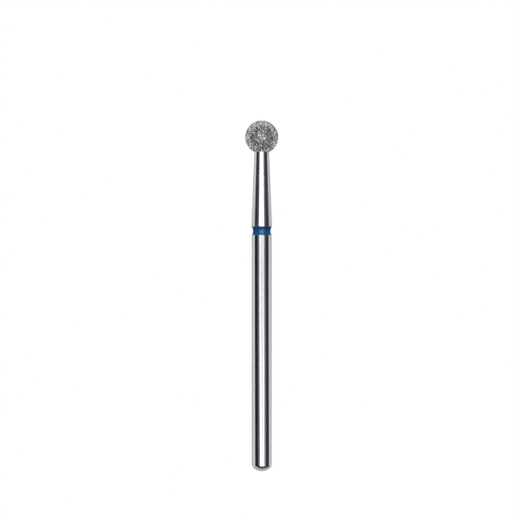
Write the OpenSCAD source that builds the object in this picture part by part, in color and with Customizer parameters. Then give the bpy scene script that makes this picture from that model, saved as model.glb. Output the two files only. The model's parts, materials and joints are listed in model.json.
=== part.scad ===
// Diamond ball bur for a straight handpiece: a small rotary grinding tool, shown with its head up.
// Origin: lowest point of the shank's rounded end, on the axis. +Z runs along the axis to the head.
// Units are millimetres.

/* [Shank] */
// Diameter of the shank, the standard size that a handpiece collet grips
shank_d = 2.35; // [1.6:0.05:3.2]
// Length from the tip of the rounded end to the colour ring
shank_len = 27.9; // [12:0.1:40]
// Height of the dome that rounds the free end
end_dome_h = 0.71; // [0.2:0.01:0.75]
// Radius of the blend between that dome and the side of the shank
end_blend_r = 0.12; // [0.05:0.01:0.3]

/* [Colour ring] */
// Width of the ring along the axis
ring_w = 1.0; // [0.5:0.05:2]
// Depth of the lacquer's hollow face at its waist, below the side of the shank
ring_depth = 0.137; // [0.08:0.001:0.2]
// Depth of the lacquer's two edges below the shank on one side and the neck's base on the other
ring_edge_step = 0.015; // [0.005:0.005:0.05]
// Thickness of the lacquer in its groove
lacquer_t = 0.05; // [0.02:0.01:0.1]

/* [Neck] */
// Length from the colour ring to the circle where the neck enters the ball
neck_len = 8.75; // [4:0.05:16]
// How far the neck's base stands out past the side of the shank
neck_rise = 0.04; // [0:0.01:0.3]
// Diameter where the neck enters the ball
neck_top_d = 1.74; // [1.2:0.02:2.2]

/* [Head] */
// Diameter of the ball over the tips of the grit
head_d = 4.0; // [2.8:0.1:5]
// Thickness of the coat, from the steel to the tips of the grit
coat_t = 0.13; // [0.1:0.01:0.3]
// Height of the tips above the hollows between the grains
grit_relief = 0.065; // [0.03:0.005:0.08]
// Distance from one grain's tip to the next
grit_pitch = 0.23; // [0.2:0.01:0.6]
// Number that picks another scatter of the same grit
grit_seed = 7; // [1:1:99]
// Clearance between the round core and the coat's many-sided seat, at the middle of each face
seat_gap = 0.002; // [0.001:0.001:0.01]

/* [Hidden] */

// Round faces are drawn finely, because the coat is only a thin skin on a round core.
$fn = 256;

shank_r = shank_d / 2;
neck_base_r = shank_r + neck_rise;
neck_top_r = neck_top_d / 2;
head_r = head_d / 2;
core_r = head_r - coat_t;

// Heights of the ring, the neck's base and the ball's centre.
ring_z = shank_len;
neck_z = ring_z + ring_w;
head_z = neck_z + neck_len + sqrt(head_r * head_r - neck_top_r * neck_top_r);

// Radius of the arc that spans a chord and bows by depth between its ends.
function arc_r(chord, depth) = (chord * chord / 4 + depth * depth) / (2 * depth);

// Radius of the neck's cone at height z.
function neck_r(z) = neck_base_r + (neck_top_r - neck_base_r) * (z - neck_z) / neck_len;

// Half section of the neck: a cone that runs on into the middle of the ball. Below the cone it
// reaches across the ring's width, where the groove is cut out of it.
module neck_section() {
    polygon([
        [0, ring_z], [neck_base_r, ring_z], [neck_base_r, neck_z], [neck_r(head_z), head_z], [0, head_z]
    ]);
}

// Half section of the whole bar: domed end, shank, neck and the ball's core, with no groove yet.
module bar_section() {
    dome_r = arc_r(shank_d, end_dome_h);
    blend_x = shank_r - end_blend_r;
    // Here the blend touches the side and, from inside, the dome.
    blend_z = dome_r - sqrt(pow(dome_r - end_blend_r, 2) - blend_x * blend_x);
    // The line from the dome's centre through the blend's centre runs on to the point where they touch.
    reach = dome_r / (dome_r - end_blend_r);
    touch = [blend_x * reach, dome_r + (blend_z - dome_r) * reach];

    intersection() {
        translate([0, dome_r])
            circle(dome_r);
        polygon([[0, dome_r], [0, -dome_r], [touch[0], -dome_r], touch]);
    }
    translate([blend_x, blend_z])
        circle(end_blend_r);
    translate([0, blend_z])
        square([shank_r, neck_z - blend_z]);
    neck_section();
    intersection() {
        translate([0, head_z])
            circle(core_r);
        translate([0, head_z - core_r])
            square([core_r, 2 * core_r]);
    }
}

// Half section of a band as wide as the ring, from the axis out to a hollow face. That face lies
// under the lacquer's own by the given depth. It is one arc, which stands upright at the waist and
// flares out to an edge on each side: the edge at the neck is the wider one, so the waist lies a
// little nearer to the shank.
module band_section(under) {
    waist_r = shank_r - ring_depth - under;
    // How far the edge at the shank and the edge at the neck stand out past the waist.
    shank_flare = ring_depth - ring_edge_step;
    neck_flare = shank_flare + neck_rise;
    // Height of the waist over the shank's end of the band, for an arc that meets both edges.
    spread = ring_w * ring_w + neck_flare * (neck_flare - shank_flare);
    waist_h = spread / (ring_w + sqrt(ring_w * ring_w + (neck_flare / shank_flare - 1) * spread));
    hollow_r = arc_r(2 * waist_h, shank_flare);
    difference() {
        translate([0, ring_z])
            square([waist_r + hollow_r, ring_w]);
        translate([waist_r + hollow_r, ring_z + waist_h])
            circle(hollow_r);
    }
}

// The bar with its groove cut.
module blank_section() {
    difference() {
        bar_section();
        difference() {
            translate([0, ring_z])
                square([neck_base_r, ring_w]);
            band_section(lacquer_t);
        }
    }
}

// Shank, groove, neck and core, turned as one piece from a steel bar.
module steel_blank() {
    color([0.76, 0.77, 0.79])
        rotate_extrude()
            blank_section();
}

// The twelve corners of an icosahedron and its twenty sides, which carry the coat's lattices.
golden = (1 + sqrt(5)) / 2;
corners = [for (a = [-1, 1], b = [-golden, golden]) each [[0, a, b], [a, b, 0], [b, 0, a]]];
corner_gap = 2;
function joined(i, j) = norm(corners[i] - corners[j]) < corner_gap + 0.01;
sides = [
    for (i = [0:1:11], j = [i + 1:1:11], k = [j + 1:1:11])
        if (joined(i, j) && joined(j, k) && joined(i, k)) [i, j, k]
];

// Way from the ball's middle to point a, b of a side's lattice. Points that two sides share add up
// in the same order on both, so they fall on the same place.
function way(side, a, b, steps) =
    let (sum = a * corners[side[0]] + b * corners[side[1]] + (steps - a - b) * corners[side[2]])
    sum / norm(sum);

// A closed skin of triangles over all sides. Each edge has that many steps, and shape puts a point
// on its way out from the middle.
module lattice_ball(steps, shape) {
    points_a_side = (steps + 1) * (steps + 2) / 2;
    function place(n, a, b) = n * points_a_side + a * (steps + 1) - a * (a - 1) / 2 + b;
    // Lists a triangle's corners clockwise as seen from outside.
    function outward(n, t) =
        cross(corners[sides[n][0]], corners[sides[n][1]]) * corners[sides[n][2]] > 0 ? [t[2], t[1], t[0]] : t;
    polyhedron(
        points = [
            for (side = sides, a = [0:1:steps], b = [0:1:steps - a])
                shape(way(side, a, b, steps), (a - b) % 3 == 0)
        ],
        faces = [
            for (n = [0:1:len(sides) - 1], a = [0:1:steps - 1], b = [0:1:steps - 1 - a]) each [
                outward(n, [place(n, a, b), place(n, a + 1, b), place(n, a, b + 1)]),
                if (a + b < steps - 1)
                    outward(n, [place(n, a + 1, b), place(n, a + 1, b + 1), place(n, a, b + 1)])
            ]
        ]
    );
}

// Steps of the grit's lattice: a multiple of three, so that every third point is a grain's tip on
// all sides alike, with six hollows around it.
edge_arc = head_r * atan(2) * PI / 180;
grit_steps = 3 * round(edge_arc * sqrt(3) / grit_pitch / 3);

// Each point of the grit strays sideways by up to this share of a step, which breaks the pattern up.
stray = 0.3;
// Share of the relief by which tips fall short of the full height, and hollows of the full depth.
tip_spread = 0.45;
hollow_spread = 0.3;

// A grain's tip or the hollow between grains, scattered by chance.
grit_point = function (way, is_tip)
    let (
        chance = rands(-1, 1, 4, grit_seed + way * [17, 37, 59]),
        aim = way + stray / grit_steps * [chance[0], chance[1], chance[2]],
        depth = is_tip ? tip_spread * abs(chance[3]) : 1 - hollow_spread * abs(chance[3])
    )
    (head_r - grit_relief * depth) * aim / norm(aim);

// The coat's seat has fewer and larger faces. The largest lie in the middle of each side, and
// their corners stand out far enough for the core to pass inside them.
seat_steps = 6;
side_mid_r = norm(corners[sides[0][0]] + corners[sides[0][1]] + corners[sides[0][2]]) / 3;
face_reach = corner_gap / sqrt(3) / side_mid_r / seat_steps;
seat_r = (core_r + seat_gap) / sqrt(1 - face_reach * face_reach);

// Diamond grit held in nickel, plated on the core all round and open where the neck comes in.
module diamond_coat() {
    color([0.53, 0.53, 0.52])
        difference() {
            translate([0, 0, head_z])
                lattice_ball(grit_steps, grit_point);
            translate([0, 0, head_z])
                lattice_ball(seat_steps, function (way, is_tip) seat_r * way);
            rotate_extrude()
                neck_section();
        }
}

// Lacquer in the groove, whose blue marks a medium grit.
module colour_ring() {
    color([0.05, 0.2, 0.42])
        rotate_extrude()
            difference() {
                band_section(0);
                band_section(lacquer_t);
            }
}

steel_blank();
diamond_coat();
colour_ring();
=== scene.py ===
import json
from math import asin, atan2, cos, degrees, pi, radians, sin, sqrt

import bmesh
import bpy
import numpy as np
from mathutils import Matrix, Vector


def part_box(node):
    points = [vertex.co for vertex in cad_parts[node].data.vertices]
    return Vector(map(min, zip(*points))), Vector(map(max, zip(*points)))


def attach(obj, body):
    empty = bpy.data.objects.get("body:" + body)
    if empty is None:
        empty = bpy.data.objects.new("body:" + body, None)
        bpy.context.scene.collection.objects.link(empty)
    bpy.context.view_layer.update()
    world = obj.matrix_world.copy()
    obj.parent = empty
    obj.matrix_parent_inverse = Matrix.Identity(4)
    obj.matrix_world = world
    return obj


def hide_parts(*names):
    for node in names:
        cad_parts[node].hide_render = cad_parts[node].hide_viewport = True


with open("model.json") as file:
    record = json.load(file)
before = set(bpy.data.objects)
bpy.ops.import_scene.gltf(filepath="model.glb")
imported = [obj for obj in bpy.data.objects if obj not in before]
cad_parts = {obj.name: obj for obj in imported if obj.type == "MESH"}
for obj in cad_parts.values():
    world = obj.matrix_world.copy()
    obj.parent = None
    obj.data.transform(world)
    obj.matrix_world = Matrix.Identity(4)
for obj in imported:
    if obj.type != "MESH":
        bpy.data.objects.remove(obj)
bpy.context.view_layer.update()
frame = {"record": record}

# Camera. The photograph looks level at the tool from a little above the middle of its length, and
# from far enough off to show its true outline. The shank's axis lies a little right of the middle.
PHOTO_PIXELS = 520
METRES_PER_PIXEL = 0.00011797
AXIS_RIGHT_OF_MIDDLE_PX = 1.76
VIEW_HEIGHT = 0.02496
CAMERA_DISTANCE = 0.28
SENSOR_WIDTH_MM = 36.0

camera_data = bpy.data.cameras.new("camera")
camera_data.sensor_width = SENSOR_WIDTH_MM
camera_data.lens = SENSOR_WIDTH_MM * CAMERA_DISTANCE / (PHOTO_PIXELS * METRES_PER_PIXEL)
camera_data.clip_start = 0.01
camera_data.clip_end = 10.0
camera = bpy.data.objects.new("camera", camera_data)
camera.location = (-AXIS_RIGHT_OF_MIDDLE_PX * METRES_PER_PIXEL, -CAMERA_DISTANCE, VIEW_HEIGHT)
camera.rotation_euler = (radians(90), 0, 0)
bpy.context.scene.collection.objects.link(camera)
bpy.context.scene.camera = camera
bpy.context.scene.view_settings.view_transform = "Standard"

# Steel blank. The whole tool but its coat and lacquer is one piece of stainless bar, turned to shape
# on a small lathe, its shank then ground to size and polished. The domed end leads it into a collet.
blank_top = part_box("steel_blank")[1].z
ring_low, ring_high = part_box("colour_ring")
ring_bottom, ring_top = ring_low.z, ring_high.z
shank_radius = frame["record"]["mounts"][0]["dims"]["r_mm"] / 1000
END_DOME_HEIGHT = 0.00071
END_BLEND_RADIUS = 0.00012
RING_DEPTH = 0.000137
RING_EDGE_STEP = 0.000015
LACQUER_THICKNESS = 0.00005
NECK_RISE = 0.00004
NECK_TOP_RADIUS = 0.00087
NECK_LENGTH = 0.00875
CORE_RADIUS = 0.00187
EDGE_BREAK = 0.000018
QUARTERS = (0.25, 0.5, 0.75)
TURNED_SIDES = 192
SHARP_CORNER = radians(28)

neck_base_radius = shank_radius + NECK_RISE
neck_slope = (NECK_TOP_RADIUS - neck_base_radius) / NECK_LENGTH
ball_height = blank_top - CORE_RADIUS


def arc(middle, radius, start, end, steps):
    """Points (distance from the axis, height) along an arc, angles in degrees from straight out."""
    angles = [radians(start + (end - start) * k / steps) for k in range(steps + 1)]
    return [(middle[0] + radius * cos(a), middle[1] + radius * sin(a)) for a in angles]


def arc_radius(chord, depth):
    """Radius of the arc that spans a chord and bows by depth between its ends."""
    return (chord * chord / 4 + depth * depth) / (2 * depth)


def hollow_arc(under, steps):
    """The ring's hollow face, or the groove's floor at a depth under it, from bottom to top. It is one
    arc, upright at its waist, which flares out to an edge at the shank and to a wider one at the neck."""
    waist = shank_radius - RING_DEPTH - under
    width = ring_top - ring_bottom
    shank_flare = RING_DEPTH - RING_EDGE_STEP
    neck_flare = shank_flare + NECK_RISE
    spread = width ** 2 + neck_flare * (neck_flare - shank_flare)
    waist_height = spread / (width + sqrt(width ** 2 + (neck_flare / shank_flare - 1) * spread))
    radius = arc_radius(2 * waist_height, shank_flare)
    start = 180 + degrees(asin(waist_height / radius))
    end = 180 - degrees(asin((width - waist_height) / radius))
    return arc((waist + radius, ring_bottom + waist_height), radius, start, end, steps)


def on_axis(point):
    """The point on the axis at the same height."""
    return (0, point[1])


def placed(name, mesh):
    """Puts a finished mesh into the scene under that name."""
    data = bpy.data.meshes.new(name)
    mesh.to_mesh(data)
    mesh.free()
    made = bpy.data.objects.new(name, data)
    bpy.context.scene.collection.objects.link(made)
    return made


def turned(name, outline):
    """Turns an outline of (distance from the axis, height) points round Z. It starts and ends on the
    axis, or closes on itself. Sharp corners stay sharp."""
    mesh = bmesh.new()
    rings = []
    for r, z in outline:
        turns = [2 * pi * k / TURNED_SIDES for k in range(TURNED_SIDES if r > 0 else 1)]
        rings.append([mesh.verts.new((r * cos(a), r * sin(a), z)) for a in turns])
    for lower, upper in zip(rings, rings[1:] + rings[:1]):
        if len(lower) == len(upper) == 1:
            continue
        for k in range(TURNED_SIDES):
            n = (k + 1) % TURNED_SIDES
            if len(lower) == 1:
                mesh.faces.new((lower[0], upper[n], upper[k]))
            elif len(upper) == 1:
                mesh.faces.new((lower[k], lower[n], upper[0]))
            else:
                mesh.faces.new((lower[k], lower[n], upper[n], upper[k]))
    bmesh.ops.recalc_face_normals(mesh, faces=mesh.faces)
    for face in mesh.faces:
        face.smooth = True
    for edge in mesh.edges:
        edge.smooth = edge.calc_face_angle(0) < SHARP_CORNER
    return placed(name, mesh)


# The domed end: a wide dome and a small blend that touches both the dome and the shank's side.
dome_radius = arc_radius(2 * shank_radius, END_DOME_HEIGHT)
blend_out = shank_radius - END_BLEND_RADIUS
blend_height = dome_radius - sqrt((dome_radius - END_BLEND_RADIUS) ** 2 - blend_out ** 2)
blend_turn = degrees(atan2(blend_height - dome_radius, blend_out))
outline = arc((0, dome_radius), dome_radius, -90, blend_turn, steps=20)
outline[0] = on_axis(outline[0])
outline += arc((blend_out, blend_height), END_BLEND_RADIUS, blend_turn, 0, steps=14)[1:]
# The shank's side, the groove's floor between its two shoulders, and the neck's base. A ring of
# points close to each rounded edge keeps the straight sides true right up to it.
outline.append((shank_radius, blend_height + EDGE_BREAK))
outline += [(shank_radius, ring_bottom * share) for share in QUARTERS]
outline.append((shank_radius, ring_bottom - 2 * EDGE_BREAK))
outline += arc((shank_radius - EDGE_BREAK, ring_bottom - EDGE_BREAK), EDGE_BREAK, 0, 90, steps=4)
outline += hollow_arc(LACQUER_THICKNESS, steps=14)
outline += arc((neck_base_radius - EDGE_BREAK, ring_top + EDGE_BREAK), EDGE_BREAK, -90, 0, steps=4)
outline.append((neck_base_radius + neck_slope * 2 * EDGE_BREAK, ring_top + 2 * EDGE_BREAK))
# The neck's cone runs up until it meets the core, some way below the ball's middle.
base_at_ball = neck_base_radius + neck_slope * (ball_height - ring_top)
meet_share = 1 + neck_slope ** 2
meet_root = sqrt((base_at_ball * neck_slope) ** 2 - meet_share * (base_at_ball ** 2 - CORE_RADIUS ** 2))
meet_down = (-base_at_ball * neck_slope - meet_root) / meet_share
meet_radius = base_at_ball + neck_slope * meet_down
for share in QUARTERS:
    height = ring_top + share * (ball_height + meet_down - ring_top)
    outline.append((neck_base_radius + neck_slope * (height - ring_top), height))
# The core, which the coat hides.
core_start = degrees(atan2(meet_down, meet_radius))
outline += arc((0, ball_height), CORE_RADIUS, core_start, 90, steps=40)
outline[-1] = on_axis(outline[-1])
blank = turned("turned_blank", outline)

# Fine marks run round the polished steel. The neck is turned and not ground, so its marks are deeper
# and it is duller than the shank.
MARK_HEIGHT = 0.000002
MARKS_SHANK_TO_NECK = (0.2, 0.45)
DULLNESS = (0.08, 0.16)
DULLER_SHANK_TO_NECK = (0.0, 0.1)


def node(tree, kind, **settings):
    """A new shader node with its settings. A setting that starts with in_ is an input's value."""
    made = tree.nodes.new(kind)
    for key, value in settings.items():
        if key.startswith("in_"):
            made.inputs[key[3:].replace("_", " ")].default_value = value
        else:
            setattr(made, key, value)
    return made


def finish_of(name, **settings):
    """A new material, its node tree, and its surface shader, which takes the settings."""
    material = bpy.data.materials.new(name)
    material.use_nodes = True
    surface = material.node_tree.nodes["Principled BSDF"]
    for key, value in settings.items():
        surface.inputs[key.replace("_", " ")].default_value = value
    return material, material.node_tree, surface


def height_along(tree):
    """The height of each spot above the tip of the domed end."""
    place = node(tree, "ShaderNodeTexCoord")
    split = node(tree, "ShaderNodeSeparateXYZ")
    tree.links.new(place.outputs["Object"], split.inputs["Vector"])
    return split.outputs["Z"]


def marks(tree, scale, detail, lengthwise=1.0, across=1.0):
    """Noise on the piece's own place, squeezed along or across the axis. Returns its value."""
    place = node(tree, "ShaderNodeTexCoord")
    squeeze = node(tree, "ShaderNodeMapping", in_Scale=(across, across, lengthwise))
    noise = node(tree, "ShaderNodeTexNoise", in_Scale=scale, in_Detail=detail)
    tree.links.new(place.outputs["Object"], squeeze.inputs["Vector"])
    tree.links.new(squeeze.outputs["Vector"], noise.inputs["Vector"])
    return noise.outputs["Fac"]


def brought_to(tree, reach, value, span=(0.0, 1.0)):
    """A value, brought from the span that it covers to another reach."""
    brought = node(tree, "ShaderNodeMapRange", in_From_Min=span[0], in_From_Max=span[1],
                   in_To_Min=reach[0], in_To_Max=reach[1])
    tree.links.new(value, brought.inputs["Value"])
    return brought.outputs["Result"]


def worked_out(tree, operation, *values):
    """Puts plain numbers and other nodes' values through a math operation. Returns its result."""
    reckoned = node(tree, "ShaderNodeMath", operation=operation)
    for socket, value in zip(reckoned.inputs, values):
        if isinstance(value, float):
            socket.default_value = value
        else:
            tree.links.new(value, socket)
    return reckoned.outputs["Value"]


steel, tree, surface = finish_of(
    "polished_steel", Base_Color=(0.6, 0.6, 0.61, 1), Metallic=1.0, Roughness=0.12)
above_tip = height_along(tree)
turning = node(tree, "ShaderNodeBump", in_Distance=MARK_HEIGHT)
tree.links.new(marks(tree, scale=1500, detail=4, lengthwise=12, across=0.16), turning.inputs["Height"])
tree.links.new(brought_to(tree, MARKS_SHANK_TO_NECK, above_tip, span=(ring_bottom, ring_top)),
               turning.inputs["Strength"])
tree.links.new(turning.outputs["Normal"], surface.inputs["Normal"])
smeared = brought_to(tree, DULLNESS, marks(tree, scale=900, detail=3, lengthwise=2))
as_turned = brought_to(tree, DULLER_SHANK_TO_NECK, above_tip, span=(ring_bottom, ring_top))
tree.links.new(worked_out(tree, "ADD", smeared, as_turned), surface.inputs["Roughness"])
blank.data.materials.append(steel)
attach(blank, "root")
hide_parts("steel_blank")

# Colour ring. A band of blue lacquer is run into the groove and baked, and its hollow face keeps it
# clear of the collet and of fingers. Blue marks a medium grit.
# Painted shade and highlight: the height darkens the lacquer towards the neck, and a painted highlight of
# the bright steel grows towards the shank. Its colour also varies in random clouds.
DEEP_BLUE = (0.001, 0.035, 0.17)
PALE_BLUE = (0.005, 0.11, 0.42)
PAINTED_SHADE_IN_TONE = 0.6
CLOUDS_IN_TONE = 0.6
CLEAR_HEAD_ON = 0.42
CLEAR_ASLANT = 0.005
PAINTED_HIGHLIGHT_TOP_TO_BOTTOM = (0.25, 1.3)
FLOW_HEIGHT = 0.000004

ring = turned("lacquer_ring", hollow_arc(0, steps=24) + hollow_arc(LACQUER_THICKNESS, steps=14)[::-1])


def colours_along(tree, value, *stops):
    """Colours along a value. Each stop is a position, from low to high, and its colour."""
    ramp = node(tree, "ShaderNodeValToRGB")
    elements = ramp.color_ramp.elements
    elements[0].position = stops[0][0]
    elements[1].position = stops[-1][0]
    for position, colour in stops[1:-1]:
        elements.new(position)
    for element, (position, colour) in zip(elements, stops):
        element.color = (*colour, 1)
    tree.links.new(value, ramp.inputs["Fac"])
    return ramp.outputs["Color"]


lacquer, tree, pigment = finish_of(
    "blue_lacquer", Base_Color=(0.002, 0.06, 0.32, 1), Roughness=0.6, Specular_IOR_Level=0.03)
# Painted shade and highlight: the lacquer is coloured darker towards the neck and paler towards the shank,
# and more of the bright steel shows towards the shank, as the hollow's upper half faces down into shade.
painted_lighting_by_height = brought_to(tree, (0.0, 1.0), height_along(tree), span=(ring_top, ring_bottom))
tone = worked_out(tree, "MULTIPLY_ADD", marks(tree, scale=3000, detail=3), CLOUDS_IN_TONE,
                  worked_out(tree, "MULTIPLY", painted_lighting_by_height, PAINTED_SHADE_IN_TONE))
tree.links.new(colours_along(tree, tone, (0, DEEP_BLUE), (1, PALE_BLUE)), pigment.inputs["Base Color"])
# Seen head on, it lets the bright steel behind it through.
bright = node(tree, "ShaderNodeBsdfPrincipled", in_Base_Color=(0.17, 0.4, 0.53, 1), in_Metallic=1.0,
              in_Roughness=0.45, in_Specular_Tint=(0.03, 0.12, 0.35, 1))
slant = node(tree, "ShaderNodeLayerWeight", in_Blend=0.5)
clear = brought_to(tree, (CLEAR_HEAD_ON, CLEAR_ASLANT), slant.outputs["Facing"], span=(0.0, 0.5))
# Painted highlight: more of the bright steel shows towards the shank and less towards the neck.
lower_highlight = brought_to(tree, PAINTED_HIGHLIGHT_TOP_TO_BOTTOM, painted_lighting_by_height)
through = node(tree, "ShaderNodeMixShader")
tree.links.new(worked_out(tree, "MULTIPLY", clear, lower_highlight), through.inputs["Fac"])
tree.links.new(pigment.outputs["BSDF"], through.inputs[1])
tree.links.new(bright.outputs["BSDF"], through.inputs[2])
tree.links.new(through.outputs["Shader"], tree.nodes["Material Output"].inputs["Surface"])
flow = node(tree, "ShaderNodeBump", in_Strength=0.3, in_Distance=FLOW_HEIGHT)
tree.links.new(marks(tree, scale=4000, detail=2), flow.inputs["Height"])
tree.links.new(flow.outputs["Normal"], pigment.inputs["Normal"])
tree.links.new(flow.outputs["Normal"], bright.inputs["Normal"])
ring.data.materials.append(lacquer)
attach(ring, "root")
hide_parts("colour_ring")

# Nickel bond. The head's core hangs in a plating bath with the grit heaped on it, and nickel grows
# round the foot of each grain until it is held. What shows between the grains is this grey nickel.
BOND_RADIUS = 0.001895
PIT_DEPTH = 0.000012
BOND_DULLNESS = (0.35, 0.6)

bond_rim_height = ball_height - sqrt(BOND_RADIUS ** 2 - NECK_TOP_RADIUS ** 2)
bond_rim = neck_base_radius + neck_slope * (bond_rim_height - ring_top)
bond_start = -degrees(atan2(sqrt(BOND_RADIUS ** 2 - bond_rim ** 2), bond_rim))
bond_outside = arc((0, ball_height), BOND_RADIUS, bond_start, 90, steps=90)
bond_outside[-1] = on_axis(bond_outside[-1])
bond_inside = arc((0, ball_height), CORE_RADIUS, 90, core_start, steps=40)
bond_inside[0] = on_axis(bond_inside[0])
bond = turned("nickel_bond", bond_outside + bond_inside)

nickel, tree, surface = finish_of(
    "plated_nickel", Base_Color=(0.42, 0.42, 0.4, 1), Metallic=1.0, Roughness=0.45)
pits = node(tree, "ShaderNodeBump", in_Strength=0.8, in_Distance=PIT_DEPTH)
tree.links.new(marks(tree, scale=14000, detail=4), pits.inputs["Height"])
tree.links.new(pits.outputs["Normal"], surface.inputs["Normal"])
dulled = brought_to(tree, BOND_DULLNESS, marks(tree, scale=9000, detail=2))
tree.links.new(dulled, surface.inputs["Roughness"])
bond.data.materials.append(nickel)
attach(bond, "root")
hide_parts("diamond_coat")

# Diamond grit. Blocky crystals of man-made diamond, about a seventh of a millimetre across, sit half
# buried in the nickel, each turned its own way. A ragged fringe of fine ones clings to the neck.
coat_low, coat_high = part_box("diamond_coat")
GRAIN_SIZE = 0.000165
GRAIN_SPACING = 0.000108
FINE_GRAIN_SIZE = 0.000104
FINE_GRAIN_SPACING = 0.000083
GRAIN_SIZE_SPREAD = 0.3
GRAIN_STRETCH = 0.25
GRAIN_LEAN = 15
TIP_SPREAD = 0.00003
NECK_CLEARANCE = 0.00004
FRINGE_GRAINS = 70
FRINGE_DROP = 0.00016
FRINGE_PROUD = 0.00004
FRINGE_LOWER_IN_FRONT = 0.4
DARKEST_GRAIN = (0.06, 0.06, 0.057)
MIDDLE_GRAIN = (0.72, 0.72, 0.705)
PALEST_GRAIN = (1.0, 1.0, 0.98)
PINKISH = (1.0, 0.91, 1.0)
UNTINTED = (0.99, 0.99, 0.99)
GREENISH = (0.9, 1.0, 0.74)
GRAIN_SCATTER = 12
TRIES_A_ROUND = 600
POOR_ROUND = 3
POOR_ROUNDS_TO_STOP = 3

chance = np.random.default_rng(GRAIN_SCATTER)


def scattered(kept, spacing):
    """Adds directions strewn over the ball, clear of the neck and each at least the spacing from every
    other. It tries many a round, and stops when several rounds running have added hardly any."""
    neck_edge = -cos(asin((NECK_TOP_RADIUS + NECK_CLEARANCE) / BOND_RADIUS))
    poor_rounds = 0
    while poor_rounds < POOR_ROUNDS_TO_STOP:
        tries = chance.normal(size=(TRIES_A_ROUND, 3))
        tries /= np.linalg.norm(tries, axis=1)[:, None]
        tries = tries[tries[:, 2] > neck_edge]
        before = len(kept)
        for way in tries:
            if not len(kept) or np.max(kept @ way) < cos(spacing / BOND_RADIUS):
                kept = np.vstack([kept, way])
        poor_rounds = poor_rounds + 1 if len(kept) - before < POOR_ROUND else 0
    return kept


def crystal_shape():
    """Corners and faces of a cube with its corners cut off, the habit of such grains."""
    hull = bmesh.new()
    for axis in range(3):
        for near in (-1, 1):
            for far in (-1, 1):
                corner = [0, 0, 0]
                corner[(axis + 1) % 3] = near
                corner[(axis + 2) % 3] = far
                hull.verts.new(corner)
    bmesh.ops.convex_hull(hull, input=hull.verts)
    bmesh.ops.dissolve_limit(hull, angle_limit=0.01, verts=hull.verts, edges=hull.edges)
    hull.verts.index_update()
    faces = [[v.index for v in face.verts] for face in hull.faces]
    corners = np.array([v.co[:] for v in hull.verts])
    hull.free()
    return corners / np.linalg.norm(corners, axis=1).max(), faces


def turns_about(axes, angles):
    """Rotations about the given axes, one a grain."""
    c, s = np.cos(angles)[:, None, None], np.sin(angles)[:, None, None]
    x, y, z = axes.T
    none = np.zeros_like(x)
    cross = np.stack([
        np.stack([none, -z, y], -1),
        np.stack([z, none, -x], -1),
        np.stack([-y, x, none], -1),
    ], -2)
    return c * np.eye(3) + s * cross + (1 - c) * axes[:, :, None] * axes[:, None, :]


def laid_down(ways):
    """Turns each grain's flat top outward, spins it by chance and leans it by a chance angle, as grains
    that settle on the plated ball lie mostly, but not quite, flat."""
    side = np.cross(ways, np.where(np.abs(ways[:, 2:]) < 0.9, [[0.0, 0.0, 1.0]], [[1.0, 0.0, 0.0]]))
    side /= np.linalg.norm(side, axis=1)[:, None]
    upright = np.stack([side, np.cross(ways, side), ways], -1)
    spun = turns_about(ways, chance.uniform(0, 2 * pi, len(ways))) @ upright
    lean_line = turns_about(ways, chance.uniform(0, 2 * pi, len(ways))) @ side[:, :, None]
    return turns_about(lean_line[:, :, 0], np.radians(chance.normal(0, GRAIN_LEAN, len(ways)))) @ spun


coarse_ways = scattered(np.zeros((0, 3)), GRAIN_SPACING)
ball_ways = scattered(coarse_ways, FINE_GRAIN_SPACING)
# The fringe on the neck just under the ball is lowest at the front.
fringe_turns = chance.uniform(0, 2 * pi, FRINGE_GRAINS)
fringe_ways = np.stack([np.cos(fringe_turns), np.sin(fringe_turns), 0 * fringe_turns], -1)
fringe_reach = 1 - FRINGE_LOWER_IN_FRONT - FRINGE_LOWER_IN_FRONT * np.sin(fringe_turns)
fringe_drops = FRINGE_DROP * chance.uniform(0, 1, FRINGE_GRAINS) * fringe_reach
ways = np.vstack([ball_ways, fringe_ways])

shape, shape_faces = crystal_shape()
turns = laid_down(ways)
sizes = np.where(np.arange(len(ways)) < len(coarse_ways), GRAIN_SIZE, FINE_GRAIN_SIZE)
sizes = sizes / 2 * (1 + GRAIN_SIZE_SPREAD * chance.uniform(-1, 1, len(ways)))
stretch = 1 + GRAIN_STRETCH * chance.uniform(-1, 1, (len(ways), 1, 3))
crystals = np.einsum("nij,nkj->nki", turns, shape[None] * stretch) * sizes[:, None, None]
# Each crystal is set as deep as its highest corner asks, so that no tip passes the coat's size.
grit_tip_radius = min(coat_high.x, -coat_low.x, coat_high.y, -coat_low.y, coat_high.z - ball_height)
tips = grit_tip_radius - chance.uniform(0, TIP_SPREAD, len(ways))
tips[len(ball_ways):] = NECK_TOP_RADIUS + FRINGE_PROUD
reach = np.einsum("nki,ni->nk", crystals, ways).max(axis=1)
middles = ways * (tips - reach)[:, None] + np.array([0, 0, ball_height])
middles[len(ball_ways):, 2] = bond_rim_height - fringe_drops
points = (crystals + middles[:, None, :]).reshape(-1, 3)
faces = [[corner + len(shape) * n for corner in face] for n in range(len(ways)) for face in shape_faces]

grit_data = bpy.data.meshes.new("diamond_grit")
grit_data.from_pydata(points.tolist(), [], faces)
for own in ("grain_tone", "grain_tint"):
    a_grain = chance.uniform(0, 1, len(ways))
    each = grit_data.attributes.new(own, "FLOAT", "FACE")
    each.data.foreach_set("value", np.repeat(a_grain, len(shape_faces)).astype(np.float32))
grit = bpy.data.objects.new("diamond_grit", grit_data)
bpy.context.scene.collection.objects.link(grit)


def own_number(tree, name):
    """The number that each face or point of a piece carries under that name."""
    return node(tree, "ShaderNodeAttribute", attribute_name=name).outputs["Fac"]


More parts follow.
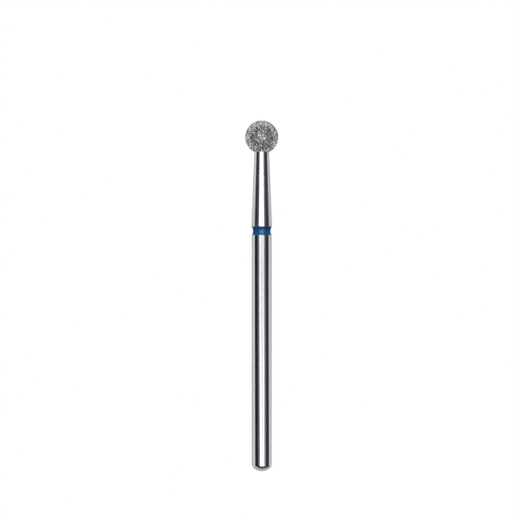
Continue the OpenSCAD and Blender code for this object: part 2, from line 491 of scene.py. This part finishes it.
diamond, tree, surface = finish_of(
    "grit_crystals", Base_Color=(0.5, 0.5, 0.47, 1), Metallic=0.65, Roughness=0.14, IOR=2.4)
tone = colours_along(tree, own_number(tree, "grain_tone"),
                     (0, DARKEST_GRAIN), (0.5, MIDDLE_GRAIN), (1, PALEST_GRAIN))
tint = colours_along(tree, own_number(tree, "grain_tint"),
                     (0, PINKISH), (0.35, UNTINTED), (0.7, UNTINTED), (1, GREENISH))
tinted = node(tree, "ShaderNodeMix", data_type="RGBA", blend_type="MULTIPLY", in_Factor=1.0)
tree.links.new(tone, tinted.inputs["A"])
tree.links.new(tint, tinted.inputs["B"])
tree.links.new(tinted.outputs["Result"], surface.inputs["Base Color"])
grit.data.materials.append(diamond)
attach(grit, "root")
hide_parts("diamond_coat")

# White tent. The tool hangs inside a tent of white cloth, which lights it from all sides and is the
# photograph's white background.
tent = bpy.data.worlds.new("white_tent")
tent.use_nodes = True
tent.node_tree.nodes["Background"].inputs["Color"].default_value = (1, 1, 1, 1)
tent.node_tree.nodes["Background"].inputs["Strength"].default_value = 1.0
bpy.context.scene.world = tent

# Ring flag. A ring of dark cloth hangs round the light that shines past the lens, and its colour is
# painted paler towards its inner edge, a painted soft edge of the light, and darker above the camera's
# height, painted shade. It gives the polished steel its two dark bands. Angles are in degrees, and those
# of the edges and painted tones count from the line to the camera.
CLOTH_DISTANCE = 0.35
CLOTH_STEPS = 32
CLOTH_SIDES = 120
CLOTH_TURN = -5
CLOTH_LEAN = 0.92
WINDOW_HALF_ANGLE = 26
WINDOW_SHIFT = 2
WINDOW_CUT_BELOW = 10
WINDOW_RISE_ABOVE = 9
FLAG_OUTER_ANGLE = 86
FLAG_WIDER_RIGHT = 6
FLAG_REACH_RIGHT = 8
FLAG_FULL_REACH_AT = 0.1
FLAG_REACH_BELOW = -3
FLAG_CORNER_REACH = 24
SHADE_ABOVE = 0.47
STRAY_LIGHT_LEFT = 0.74
STRAY_LIGHT_RIGHT = 1.5
# Painted light: the cloth's colour steps from dark near its outer edge to near white at its inner edge, a
# painted soft edge of the light.
INNERMOST_PAINTED_LIGHT = (0.95, 0.97, 1.0)
INNERMOST_NEARNESS = 0.9
PAINTED_FALLOFF = ((78, (0.065, 0.064, 0.072)), (66, (0.045, 0.044, 0.054)), (56, (0.08, 0.083, 0.105)),
        (48, (0.16, 0.175, 0.23)), (40, (0.4, 0.44, 0.56)), (33, (0.74, 0.78, 0.87)))
OUTERMOST_PAINTED_SHADE = (0.09, 0.087, 0.1)


def hung(name, mesh, finish):
    """Hangs a thing of the studio, which the polished steel reflects but the camera doesn't see."""
    made = placed(name, mesh)
    made.visible_camera = False
    made.data.materials.append(finish)
    return made


def hung_cloth(name, start, end, finish, **numbers):
    """A cloth bent to a zone of a ball about the tool's middle, and hung askew. Start and end are
    functions of the spot's side, as parts to the right and up, that give the angles of its two edges.
    Each number is a function of the angle, the part to the right and the height, and the cloth's
    points carry it under its name."""
    mesh = bmesh.new()
    layers = [mesh.verts.layers.float.new(own) for own in numbers]
    rings = []
    for step in range(CLOTH_STEPS + 1):
        ring = []
        for k in range(CLOTH_SIDES):
            right, up = cos(2 * pi * k / CLOTH_SIDES), sin(2 * pi * k / CLOTH_SIDES)
            share = step / CLOTH_STEPS
            angle = radians(start(right, up) + (end(right, up) - start(right, up)) * share)
            height = sin(angle) * up
            aside, away = sin(angle) * right, cos(angle)
            askew = radians(CLOTH_TURN) + CLOTH_LEAN * asin(max(0.0, -height)) * right ** 2
            vert = mesh.verts.new((CLOTH_DISTANCE * (aside * cos(askew) + away * sin(askew)),
                                   CLOTH_DISTANCE * (aside * sin(askew) - away * cos(askew)),
                                   CLOTH_DISTANCE * height))
            for layer, worth in zip(layers, numbers.values()):
                vert[layer] = worth(angle, right, height)
            ring.append(vert)
        rings.append(ring)
    for lower, upper in zip(rings, rings[1:]):
        for k in range(CLOTH_SIDES):
            n = (k + 1) % CLOTH_SIDES
            mesh.faces.new((lower[k], lower[n], upper[n], upper[k]))
    cloth = hung(name, mesh, finish)
    cloth.location = (0, 0, VIEW_HEIGHT)


def window_edge(right, up):
    """The flag's inner edge, lower than a circle's at the top and higher at the bottom."""
    return (WINDOW_HALF_ANGLE + WINDOW_SHIFT * right - WINDOW_CUT_BELOW * min(0.0, up) ** 2
            + WINDOW_RISE_ABOVE * max(0.0, up) ** 2)


def flag_edge(right, up):
    """The flag's outer edge. It hangs further back at its lower corners, and at the right, most of all
    above the camera's height."""
    down = min(0.0, up) ** 2
    above = min(1.0, max(0.0, up) / FLAG_FULL_REACH_AT)
    return (FLAG_OUTER_ANGLE + FLAG_REACH_BELOW * down + FLAG_CORNER_REACH * down * right ** 2
            + (FLAG_WIDER_RIGHT + FLAG_REACH_RIGHT * above) * max(0.0, right))


def nearness(angle, right, height):
    """1 on the line to the camera and 0 beside the tool, and less above that line, so that the cloth is
    painted darker there.
    """
    return cos(angle) - SHADE_ABOVE * max(0.0, height)


def stray_light(angle, right, height):
    """More stray light falls on the flag's right side than on its left."""
    return STRAY_LIGHT_LEFT + (STRAY_LIGHT_RIGHT - STRAY_LIGHT_LEFT) * (right + 1) / 2


dark_cloth, tree, surface = finish_of(
    "dark_cloth", Base_Color=(0.04, 0.04, 0.05, 1), Roughness=1.0, Specular_IOR_Level=0.0)
# Painted light and shade: the cloth's colour runs from dark at its outer edge to near white at its inner
# edge.
falloff_stops = [(cos(radians(angle)), colour) for angle, colour in PAINTED_FALLOFF]
falloff_colour = colours_along(tree, own_number(tree, "nearness"),
                     (0, OUTERMOST_PAINTED_SHADE), *falloff_stops, (INNERMOST_NEARNESS, INNERMOST_PAINTED_LIGHT))
lit = node(tree, "ShaderNodeVectorMath", operation="SCALE")
tree.links.new(falloff_colour, lit.inputs["Vector"])
tree.links.new(own_number(tree, "stray_light"), lit.inputs["Scale"])
tree.links.new(lit.outputs["Vector"], surface.inputs["Base Color"])
hung_cloth("ring_flag", window_edge, flag_edge, dark_cloth, nearness=nearness, stray_light=stray_light)

# Back cloth. A grey cloth closes the tent behind the tool and greys the steel's outermost edges. It
# glows, painted light for light through the cloth. It meets the flag at the bottom and leaves a slit of
# white tent at the sides, seen as a bright line.
BACK_INNER_ANGLE = 122
BACK_OUTER_ANGLE = 179.5
BACK_WIDER_LEFT = 4
BACK_REACH_BELOW = 24
BACK_OVERLAP = 1
BACK_GLOW = 0.47
BACK_DIMMER_LEFT = 0.13
BACK_BRIGHTER_FOOT = 0.11
FOOT_STARTS_BELOW = 0.4
FOOT_FADES_OVER = 0.3
BACK_GREY = (0.6, 0.59, 0.62)
FOOT_GREY = (0.62, 0.6, 0.57)


def back_inner_edge(right, up):
    """The back cloth's inner edge, which nowhere comes nearer than the flag."""
    own_edge = BACK_INNER_ANGLE + BACK_WIDER_LEFT * max(0.0, -right) - BACK_REACH_BELOW * min(0.0, up) ** 2
    return max(flag_edge(right, up) + BACK_OVERLAP, own_edge)


def back_outer_edge(right, up):
    """The back cloth closes on the spot behind the tool."""
    return BACK_OUTER_ANGLE


def near_floor(angle, right, height):
    """1 at the back cloth's foot, by the floor, and 0 from about the tool's height up."""
    return min(1.0, max(0.0, (-height - FOOT_STARTS_BELOW) / FOOT_FADES_OVER))


def back_glow(angle, right, height):
    """Painted light: the back cloth glows, standing in for light let through it, more at the foot and less
    at the left.
    """
    foot = near_floor(angle, right, height)
    return BACK_GLOW + BACK_BRIGHTER_FOOT * foot - BACK_DIMMER_LEFT * max(0.0, -right) * (1 - foot)


# Painted light: the cloth glows, more at the foot and less at the left.
grey_cloth, tree, surface = finish_of("grey_cloth", Roughness=1.0, Specular_IOR_Level=0.0)
grey = colours_along(tree, own_number(tree, "near_floor"), (0, BACK_GREY), (1, FOOT_GREY))
tree.links.new(grey, surface.inputs["Base Color"])
tree.links.new(grey, surface.inputs["Emission Color"])
tree.links.new(own_number(tree, "back_glow"), surface.inputs["Emission Strength"])
hung_cloth("back_cloth", back_inner_edge, back_outer_edge, grey_cloth,
           back_glow=back_glow, near_floor=near_floor)

# Camera stand. The camera's stand and the sheer cloth over it stand before the softbox. Together they
# leave a grey line along the shank, which leans and fades towards the foot. Each row of the cloth
# says how far aside of the stand's middle it covers how much.
STAND_BEHIND = 0.66
STAND_TOP = 0.05
STAND_TOP_MIDDLE = -0.06
STAND_TOP_VEIL = ((-0.34, 0.68), (-0.14, 0.56), (-0.06, 0.66), (0, 0.95), (0.06, 0.68), (0.36, 0.62))
STAND_FOOT = -0.068
STAND_FOOT_MIDDLE = 0.09
STAND_FOOT_VEIL = ((-0.3, 0.1), (-0.14, 0.15), (-0.06, 0.3), (0, 0.95), (0.06, 0.3), (0.2, 0.0))

stand_mesh = bmesh.new()
veil = stand_mesh.verts.layers.float.new("veil")


def veil_row(middle, height, row):
    """One row of the sheer cloth's points, each with how much it covers there."""
    verts = []
    for aside, cover in row:
        vert = stand_mesh.verts.new((middle + aside, -STAND_BEHIND, height))
        vert[veil] = cover
        verts.append(vert)
    return verts


foot_row = veil_row(STAND_FOOT_MIDDLE, STAND_FOOT, STAND_FOOT_VEIL)
top_row = veil_row(STAND_TOP_MIDDLE, STAND_TOP, STAND_TOP_VEIL)
for k in range(len(foot_row) - 1):
    stand_mesh.faces.new((foot_row[k], foot_row[k + 1], top_row[k + 1], top_row[k]))
sheer, tree, surface = finish_of(
    "sheer_cloth", Base_Color=(0.22, 0.27, 0.4, 1), Roughness=1.0, Specular_IOR_Level=0.0)
tree.links.new(own_number(tree, "veil"), surface.inputs["Alpha"])
hung("camera_stand", stand_mesh, sheer)

# White cards. Three cards, white in front and black behind, stand low behind the tool, out of the
# photograph's sight, and put bright lines on the steel's back.
CARD_TURNS = (128, 180, 232)
CARD_DISTANCE = 0.3
CARD_WIDTH = 0.085
CARD_THICKNESS = 0.001
CARD_FOOT = -0.16
CARD_TOP = -0.036

# Painted light: the white faces glow as well as reflect, though they are no lamps.
glowing_white_face = finish_of(
    "glowing_white_face", Base_Color=(0.8, 0.8, 0.8, 1), Roughness=1.0, Specular_IOR_Level=0.0,
    Emission_Color=(1, 1, 1, 1), Emission_Strength=1.3)[0]
black_back = finish_of(
    "black_back", Base_Color=(0.01, 0.01, 0.01, 1), Roughness=1.0, Specular_IOR_Level=0.0)[0]
card_corners = [(-CARD_WIDTH / 2, CARD_FOOT), (CARD_WIDTH / 2, CARD_FOOT),
                (CARD_WIDTH / 2, CARD_TOP), (-CARD_WIDTH / 2, CARD_TOP)]
for turn in CARD_TURNS:
    card_mesh = bmesh.new()
    for layer, distance in enumerate((CARD_DISTANCE, CARD_DISTANCE + CARD_THICKNESS)):
        side = [card_mesh.verts.new((aside, -distance, height)) for aside, height in card_corners]
        card_mesh.faces.new(side).material_index = layer
    card = hung("white_card", card_mesh, glowing_white_face)
    card.data.materials.append(black_back)
    card.rotation_euler = (0, 0, radians(turn))

# Softbox. The main light stands behind the camera and shines past it, so the steel shows it as the
# bright window between its two dark bands.
SOFTBOX_DISTANCE = 0.8
SOFTBOX_WIDTH = 1.05
SOFTBOX_GLOW = 1.65


def square_light(name, width, glow):
    """A square light, as bright all over as the glow says."""
    light_data = bpy.data.lights.new(name, "AREA")
    light_data.shape = "SQUARE"
    light_data.size = width
    light_data.energy = glow * pi * width ** 2
    light = bpy.data.objects.new(name, light_data)
    bpy.context.scene.collection.objects.link(light)
    return light


softbox = square_light("softbox", SOFTBOX_WIDTH, SOFTBOX_GLOW)
softbox.location = (0, -SOFTBOX_DISTANCE, VIEW_HEIGHT)
softbox.rotation_euler = (radians(90), 0, 0)

# Overhead light. A smaller soft light hangs straight above, and brightens the top of the ball and
# the floor.
OVERHEAD_HEIGHT = 0.6
OVERHEAD_WIDTH = 0.5
OVERHEAD_GLOW = 0.6

overhead = square_light("overhead", OVERHEAD_WIDTH, OVERHEAD_GLOW)
overhead.location = (0, 0, OVERHEAD_HEIGHT)

# Floor. A pale floor lies well below the hanging tool. The camera sees it as white as the tent, and
# the steel sees it in its own light grey.
FLOOR_DEPTH = 0.4
FLOOR_HALF_WIDTH = 3
FLOOR_GLOW_IN_STEEL = 0.1

floor_mesh = bmesh.new()
bmesh.ops.create_grid(floor_mesh, x_segments=8, y_segments=8, size=FLOOR_HALF_WIDTH)
floor = placed("floor", floor_mesh)
floor.location = (0, 0, -FLOOR_DEPTH)
pale, tree, surface = finish_of(
    "pale_floor", Base_Color=(0.5, 0.5, 0.5, 1), Roughness=0.9, Specular_IOR_Level=0.0,
    Emission_Color=(1, 1, 1, 1))
path = node(tree, "ShaderNodeLightPath")
bounced = worked_out(tree, "MAXIMUM", path.outputs["Is Glossy Ray"], path.outputs["Is Transmission Ray"])
glow = worked_out(tree, "MULTIPLY_ADD", bounced, FLOOR_GLOW_IN_STEEL, path.outputs["Is Camera Ray"])
tree.links.new(glow, surface.inputs["Emission Strength"])
floor.data.materials.append(pale)
